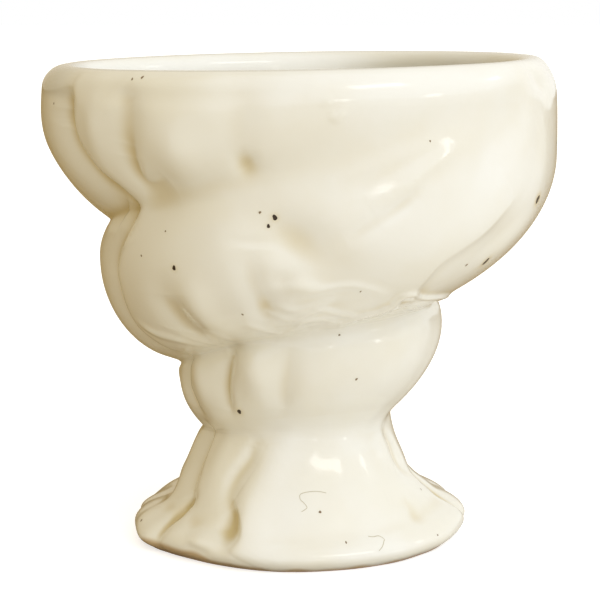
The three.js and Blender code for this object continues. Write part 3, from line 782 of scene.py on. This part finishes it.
# Iron specks in the glaze: angle, height and radius
SPECKS = [
    (264.4, 39.4, 0.27), (262.9, 38.5, 0.19), (239.1, 33.7, 0.24), (334.9, 39.6, 0.42), (323.4, 33.3, 0.36),
    (239.1, 16.1, 0.27), (261.1, 39.9, 0.13), (228.1, 34.5, 0.12), (235.4, 53.1, 0.14), (232.9, 52.9, 0.12),
    (203.6, 49.8, 0.12), (314.6, 33.4, 0.15), (297.9, 46.9, 0.1), (347.4, 45.2, 0.16), (254.4, 28.8, 0.11),
    (202.6, 2.6, 0.12), (294.1, 20.3, 0.14), (285.9, 25.4, 0.11), (278.0, 6.0, 0.14), (339.0, 5.6, 0.1),
    (286.2, 3.1, 0.1), (323.4, 2.1, 0.1), (285.4, 31.4, 0.1), (236.6, 37.4, 0.1),
]

# Fine hairs that burned into the glaze, as paths of angle and height
HAIRS = [
    [(295.0, 3.4), (296.7, 3.3), (299.0, 3.3), (300.4, 3.0), (299.8, 2.8), (298.3, 2.4), (296.7, 2.1)],
    [(281.6, 7.7), (277.8, 7.9), (273.8, 7.9), (271.2, 7.8), (269.9, 7.6), (270.2, 7.2), (271.6, 6.9),
     (272.8, 6.5), (272.1, 6.3), (270.6, 6.1)],
]

# Specks under this radius are pale
PALE_SPECK = 0.16
SPECK_SEED = 5

# A speck is a top and two uneven rings, each with its share of the radius and its lift in SPECK_LIFT
SPECK_TOP = 3
SPECK_RINGS = [(0.6, 1.8), (1, 1)]

# Waves of a speck's outline: waves round it, share of its radius and share of the phase
SPECK_WAVES = [(2, 0.16, 1), (3, 0.1, 2)]


def on_wall(places):
    """Points lifted a little above the wall, from rows of angle, height and lift."""
    angle, height, lift = np.asarray(places, float).T
    radius = outer_radius(angle, height) + lift
    around = np.radians(angle)
    return (np.stack([radius * np.cos(around), radius * np.sin(around), height], -1) + AXIS) * MM


def speck_places(angle, height, size, phase):
    """The top and the rings of one speck, in rows of angle, height and lift."""
    places = [(angle, height, SPECK_TOP * SPECK_LIFT)]
    for ring_share, steps in SPECK_RINGS:
        for side in range(SPECK_SIDES):
            turned = math.tau * side / SPECK_SIDES
            waves = (share * math.sin(count * turned + part * phase) for count, share, part in SPECK_WAVES)
            reach = size * ring_share * (1 + sum(waves))
            across = reach * math.cos(turned) / degree_length(angle, height)
            places.append((angle + across, height + reach * math.sin(turned), steps * SPECK_LIFT))
    return places


def speck_faces(first):
    """Faces of one speck, from the number of its top point."""
    inner = first + 1
    outer = inner + SPECK_SIDES
    faces = []
    for side in range(SPECK_SIDES):
        following = (side + 1) % SPECK_SIDES
        faces.append((first, inner + side, inner + following))
        faces.append((inner + side, outer + side, outer + following, inner + following))
    return faces


def make_specks():
    """Low irregular domes that lie on the wall."""
    generator = random.Random(SPECK_SEED)
    places = []
    faces = []
    for angle, height, size in SPECKS:
        faces.extend(speck_faces(len(places)))
        places.extend(speck_places(angle, height, size, generator.uniform(0, math.tau)))
    piece = add_object("glaze_specks", on_wall(places), faces)
    faces_each = len(faces) // len(SPECKS)
    for place, face in enumerate(piece.data.polygons):
        if SPECKS[place // faces_each][2] < PALE_SPECK:
            face.material_index = 1
    return piece


def make_hairs():
    """Thin ribbons that lie on the wall."""
    places = []
    faces = []
    for path in HAIRS:
        first = len(places)
        curve = np.array(smooth_path(path, HAIR_STEPS))
        scale = np.array([degree_length(*path[0]), 1])
        along = np.gradient(curve * scale, axis=0)
        along /= np.hypot(along[:, 0], along[:, 1])[:, None]
        aside = np.stack([-along[:, 1], along[:, 0]], -1) * HAIR_WIDTH / 2 / scale
        for side in (1, -1):
            places.extend((*place, SPECK_LIFT) for place in curve + side * aside)
        count = len(curve)
        for near in range(first, first + count - 1):
            faces.append((near, near + count, near + count + 1, near + 1))
    return add_object("glaze_hairlines", on_wall(places), faces)


def find_axis():
    """Place of the shell's axis, since the frame's origin is the middle of the lopsided shell's box."""
    heights = np.linspace(0, 1, BOX_ROWS)[:, None] * rim_height(ANGLES)
    wall = ring(outer_radius(ANGLES, heights), heights).reshape(-1, 3)
    middle = (wall.min(0) + wall.max(0)) / 2
    return np.array([-middle[0], -middle[1], 0])


AXIS = find_axis()


def empty_nodes(owner, output_kind):
    """Nodes and links of a material or world, with nothing but the output node."""
    owner.use_nodes = True
    nodes = owner.node_tree.nodes
    nodes.clear()
    return nodes, owner.node_tree.links, nodes.new(output_kind)


def set_inputs(node, values):
    for name, value in values.items():
        node.inputs[name].default_value = value


def new_material(name, finish):
    """A material with one shader, and the finish that the shader has."""
    material = bpy.data.materials.new(name)
    nodes, links, output = empty_nodes(material, "ShaderNodeOutputMaterial")
    shader = nodes.new("ShaderNodeBsdfPrincipled")
    set_inputs(shader, finish)
    links.new(shader.outputs[0], output.inputs[0])
    return material, nodes, links, shader


# Sockets of a mix node that take its two colours, and the one that gives the mixed colour
MIX_FIRST = 6
MIX_SECOND = 7
MIX_RESULT = 2


def colour_mix(nodes, links, factor, first, second):
    """Mix of two colours, each a fixed one or another node's."""
    mix = nodes.new("ShaderNodeMix")
    mix.data_type = "RGBA"
    links.new(factor, mix.inputs["Factor"])
    for socket, value in ((mix.inputs[MIX_FIRST], first), (mix.inputs[MIX_SECOND], second)):
        if isinstance(value, tuple):
            socket.default_value = (*value, 1)
        else:
            links.new(value, socket)
    return mix.outputs[MIX_RESULT]


def value_range(nodes, links, value, low, high):
    """Rises softly from 0 at the low value to 1 at the high one."""
    node = nodes.new("ShaderNodeMapRange")
    node.interpolation_type = "SMOOTHSTEP"
    links.new(value, node.inputs["Value"])
    node.inputs["From Min"].default_value = low
    node.inputs["From Max"].default_value = high
    return node.outputs[0]


def value_toward(nodes, links, place, direction):
    """How far a place lies in a direction."""
    toward = nodes.new("ShaderNodeVectorMath")
    toward.operation = "DOT_PRODUCT"
    toward.inputs[1].default_value = direction
    links.new(place, toward.inputs[0])
    return toward.outputs["Value"]


def object_place(nodes):
    return nodes.new("ShaderNodeTexCoord").outputs["Object"]


def object_noise(nodes, links, values):
    noise = nodes.new("ShaderNodeTexNoise")
    set_inputs(noise, values)
    links.new(object_place(nodes), noise.inputs["Vector"])
    return noise.outputs["Fac"]


# Finish of each surface
GLAZE_FINISH = {"Roughness": 0.14, "IOR": 1.52, "Coat Weight": 0.35, "Coat Roughness": 0.03}
GLAZE_BUMP = {"Strength": 0.06, "Distance": 0.0004}
MARK_FINISH = {"Roughness": 0.3}
CLAY_FINISH = {"Roughness": 0.75}

# Noise of the glaze's clouds, of its ripple and of the clay's grain, and the noise values of full change
GLAZE_CLOUD = {"Scale": 90, "Detail": 3}
CLOUD_RANGE = (0.35, 0.7)
GLAZE_RIPPLE = {"Scale": 420, "Detail": 2}
CLAY_GRAIN = {"Scale": 900, "Detail": 4}
GRAIN_RANGE = (0.3, 0.7)

# Colours of the glaze, the clay and the marks
IVORY = (0.885, 0.875, 0.815)
CREAM = (0.86, 0.835, 0.74)
BARE_CLAY = (0.52, 0.36, 0.26)
PALE_CLAY = (0.66, 0.5, 0.37)
DARK_SPECK_COLOUR = (0.035, 0.018, 0.008)
PALE_SPECK_COLOUR = (0.22, 0.15, 0.08)
HAIR_COLOUR = (0.56, 0.51, 0.38)

# Where the glaze changes, and where shade and light are painted into it: the attribute, its values at no
# change and at full change, and the colour
GLAZE_TINTS_AND_PAINTED_LIGHT = [
    # Painted shade on the side away from the light
    ("painted_shade_side", 0.0, 1.0, (0.87, 0.84, 0.725)),
    # Glaze pooled in wide and small hollows, darkened further there as painted shade
    ("wide_hollow_pool_and_shade", 0.05, 0.9, (0.82, 0.76, 0.59)),
    ("near_hollow_pool_and_shade", 0.0, 0.4, (0.66, 0.55, 0.31)),
    ("speck_halo", 0.0, 1.0, (0.72, 0.60, 0.34)),
    ("thin_glaze", 0.0, 1.0, (0.60, 0.45, 0.26)),
    # Painted light on the inner wall's left and front
    ("inner_left_painted_light", 0.0, 1.0, (0.94, 0.935, 0.885)),
    # Painted shade on the inner wall's right and back and round the rim's left end, and grey on the rim's
    # crest
    ("grey_rim_and_painted_shade", 0.0, 1.0, (0.58, 0.56, 0.49)),
]


def glaze_material():
    """Cloudy ivory glaze with a faint ripple, tinted by the shades that the mesh carries, with painted shade
    and painted light among them.
    """
    material, nodes, links, shader = new_material("ivory_lead_glaze", GLAZE_FINISH)
    cloud = value_range(nodes, links, object_noise(nodes, links, GLAZE_CLOUD), *CLOUD_RANGE)
    colour = colour_mix(nodes, links, cloud, IVORY, CREAM)
    for label, low, high, shade in GLAZE_TINTS_AND_PAINTED_LIGHT:
        attribute = nodes.new("ShaderNodeAttribute")
        attribute.attribute_name = label
        share = value_range(nodes, links, attribute.outputs["Fac"], low, high)
        colour = colour_mix(nodes, links, share, colour, shade)
    links.new(colour, shader.inputs["Base Color"])
    bump = nodes.new("ShaderNodeBump")
    set_inputs(bump, GLAZE_BUMP)
    links.new(object_noise(nodes, links, GLAZE_RIPPLE), bump.inputs["Height"])
    links.new(bump.outputs[0], shader.inputs["Normal"])
    return material


def mark_material(name, colour):
    """One plain colour, for a speck or a hair."""
    material, _, _, shader = new_material(name, MARK_FINISH)
    shader.inputs["Base Color"].default_value = (*colour, 1)
    return material


def clay_material():
    """Grainy clay of two tones, without glaze."""
    material, nodes, links, shader = new_material("bare_fired_clay", CLAY_FINISH)
    grain = value_range(nodes, links, object_noise(nodes, links, CLAY_GRAIN), *GRAIN_RANGE)
    colour = colour_mix(nodes, links, grain, BARE_CLAY, PALE_CLAY)
    links.new(colour, shader.inputs["Base Color"])
    return material


# Clay is bare from the hollow's lowest ring to the second ring of the outer wall
BARE_ROWS = FOOT_BASE_ROWS + 2


def dress(pieces):
    """Glaze every piece, leave the foot's base bare, hang each piece on the root and hide its solid."""
    glaze = glaze_material()
    clay = clay_material()
    nodes = ("bowl", "stem_whorl", "foot", "bowl_luting_seam", "foot_luting_seam")
    slots = ("bowl_glaze", "stem_glaze", "foot_glaze", "bowl_slip", "foot_slip")
    for piece, node, slot in zip(pieces, nodes, slots):
        piece.data.materials.append(glaze)
        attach(piece, "root")
        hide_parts(node)
    foot = pieces[nodes.index("foot")]
    foot.data.materials.append(clay)
    first = COLUMNS * FOOT_HOLLOW_ROWS
    last = first + COLUMNS * BARE_ROWS
    for face in foot.data.polygons[first:last]:
        face.material_index = 1


def dress_marks():
    """Specks and hairs, which belong to the glaze."""
    specks = make_specks()
    specks.data.materials.append(mark_material("dark_iron_speck", DARK_SPECK_COLOUR))
    specks.data.materials.append(mark_material("pale_iron_speck", PALE_SPECK_COLOUR))
    hairs = make_hairs()
    hairs.data.materials.append(mark_material("burned_hair", HAIR_COLOUR))
    for piece in (specks, hairs):
        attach(piece, "root")


# A pale sheet lies on the table in front and at the right; the camera sees all of it as white
SHEET_DIRECTION = (0.65, -0.76, 0)
DIM_TABLE = (0.36, 0.26, 0.11)
BRIGHT_TABLE = (0.87, 0.85, 0.79)
SEEN_TABLE = (0.7, 0.7, 0.7)

# The sheet's soft edge, in metres in its direction, the light that lifts what the camera sees to white,
# and how far the table reaches
SHEET_EDGE = (-0.03, 0.04)
SEEN_GLOW = 0.66
TABLE_REACH = 3.0


def table_material():
    """Two-toned table for the cup's light; the camera sees an even one that keeps the shadow."""
    material = bpy.data.materials.new("pale_floor")
    nodes, links, output = empty_nodes(material, "ShaderNodeOutputMaterial")
    diffuse = nodes.new("ShaderNodeBsdfDiffuse")
    share = value_toward(nodes, links, object_place(nodes), SHEET_DIRECTION)
    table = colour_mix(nodes, links, value_range(nodes, links, share, *SHEET_EDGE), DIM_TABLE, BRIGHT_TABLE)
    to_camera = nodes.new("ShaderNodeLightPath").outputs["Is Camera Ray"]
    links.new(colour_mix(nodes, links, to_camera, table, SEEN_TABLE), diffuse.inputs["Color"])
    lift = nodes.new("ShaderNodeMath")
    lift.operation = "MULTIPLY"
    lift.inputs[1].default_value = SEEN_GLOW
    links.new(to_camera, lift.inputs[0])
    glow = nodes.new("ShaderNodeEmission")
    links.new(lift.outputs[0], glow.inputs["Strength"])
    add = nodes.new("ShaderNodeAddShader")
    links.new(diffuse.outputs[0], add.inputs[0])
    links.new(glow.outputs[0], add.inputs[1])
    links.new(add.outputs[0], output.inputs[0])
    return material


def make_floor():
    """The table that the cup stands on."""
    corners = [(x * TABLE_REACH, y * TABLE_REACH, 0) for x, y in ((-1, -1), (1, -1), (1, 1), (-1, 1))]
    floor = add_object("floor", corners, [(0, 1, 2, 3)])
    floor.data.materials.append(table_material())


# The room is bright at the right, in front and above, dim and warm at the left, and behind it goes from
# tan at the left to pale at the right
BRIGHT_DIRECTION = Vector((0.56, -0.68, 0.47)).normalized()
BRIGHT_SIDE = (1.14, 1.155, 1.175)
MIDDLE_SIDE = (0.57, 0.41, 0.09)
DIM_SIDE = (0.24, 0.14, 0.03)
BACKDROP_LEFT = (0.56, 0.45, 0.27)
BACKDROP_RIGHT = (1.0, 0.98, 0.92)
SEEN_ROOM = {"Color": (1, 1, 1, 1), "Strength": 1}

# Where the room goes from one tone to the next: towards the bright side, backwards and sideways
DIM_TO_MIDDLE = (-0.75, 0)
MIDDLE_TO_BRIGHT = (0.0, 0.6)
ROOM_TO_BACKDROP = (0.0, 0.45)
LEFT_TO_RIGHT = (-0.5, 0.5)


def room_colour(nodes, links):
    """Colour of the room in each direction, as it lights the cup."""
    direction = nodes.new("ShaderNodeTexCoord").outputs["Generated"]
    toward = value_toward(nodes, links, direction, BRIGHT_DIRECTION)
    room = colour_mix(nodes, links, value_range(nodes, links, toward, *DIM_TO_MIDDLE), DIM_SIDE, MIDDLE_SIDE)
    room = colour_mix(nodes, links, value_range(nodes, links, toward, *MIDDLE_TO_BRIGHT), room, BRIGHT_SIDE)
    parts = nodes.new("ShaderNodeSeparateXYZ")
    links.new(direction, parts.inputs[0])
    behind = value_range(nodes, links, parts.outputs["Y"], *ROOM_TO_BACKDROP)
    sideways = value_range(nodes, links, parts.outputs["X"], *LEFT_TO_RIGHT)
    backdrop = colour_mix(nodes, links, sideways, BACKDROP_LEFT, BACKDROP_RIGHT)
    return colour_mix(nodes, links, behind, room, backdrop)


def make_world():
    """The room lights the cup, and the camera sees plain white in its place."""
    world = bpy.data.worlds.new("studio")
    bpy.context.scene.world = world
    nodes, links, output = empty_nodes(world, "ShaderNodeOutputWorld")
    seen = nodes.new("ShaderNodeBackground")
    set_inputs(seen, SEEN_ROOM)
    light = nodes.new("ShaderNodeBackground")
    links.new(room_colour(nodes, links), light.inputs["Color"])
    mix = nodes.new("ShaderNodeMixShader")
    links.new(nodes.new("ShaderNodeLightPath").outputs["Is Camera Ray"], mix.inputs[0])
    links.new(light.outputs[0], mix.inputs[1])
    links.new(seen.outputs[0], mix.inputs[2])
    links.new(mix.outputs[0], output.inputs[0])


# Windows as the glaze shows them: turn to the right of the front and rise in degrees, width and
# height in metres, and brightness
WINDOWS = {
    "high_window": (38, 41, 0.32, 0.12, 2.9),
    "side_window": (98, 26, 0.12, 0.10, 2.0),
    "low_left_window": (17, 6, 0.05, 0.07, 3.2),
    "low_right_window": (62, 3, 0.09, 0.08, 3.0),
}
WINDOW_DISTANCE = 0.7
WINDOW_TARGET = Vector((0, 0, 0.03))


def add_window(name, turn, rise, width, height, brightness):
    """Lamp with the shape of a window, turned to the middle of the cup."""
    lamp = bpy.data.lights.new(name, "AREA")
    lamp.shape = "RECTANGLE"
    lamp.size = width
    lamp.size_y = height
    lamp.energy = math.pi * width * height * brightness
    holder = bpy.data.objects.new(name, lamp)
    bpy.context.scene.collection.objects.link(holder)
    turn = math.radians(turn)
    rise = math.radians(rise)
    direction = Vector((math.sin(turn) * math.cos(rise), -math.cos(turn) * math.cos(rise), math.sin(rise)))
    holder.location = WINDOW_TARGET + direction * WINDOW_DISTANCE
    holder.rotation_euler = (-direction).to_track_quat("-Z", "Y").to_euler()


def make_lights():
    for name, values in WINDOWS.items():
        add_window(name, *values)


# The photograph's camera: level distance from the cup's axis and height in metres, its tilt downwards,
# and lens and sensor in millimetres
CAMERA_DISTANCE = 0.198
CAMERA_HEIGHT = 0.0615
CAMERA_PITCH = math.radians(10)
CAMERA_LENS = 104.94
CAMERA_SENSOR = 36
CAMERA_NEAREST = 0.01


def make_camera():
    """The camera looks along +Y and a little down, from in front of the shell's axis."""
    camera = bpy.data.cameras.new("camera")
    camera.sensor_width = CAMERA_SENSOR
    camera.lens = CAMERA_LENS
    camera.clip_start = CAMERA_NEAREST
    holder = bpy.data.objects.new("camera", camera)
    bpy.context.scene.collection.objects.link(holder)
    holder.location = (AXIS[0] * MM, AXIS[1] * MM - CAMERA_DISTANCE, CAMERA_HEIGHT)
    holder.rotation_euler = (math.pi / 2 - CAMERA_PITCH, 0, 0)
    bpy.context.scene.camera = holder


make_camera()
dress(make_pieces())
dress_marks()
make_floor()
make_world()
make_lights()
bpy.context.scene.view_settings.view_transform = "Standard"
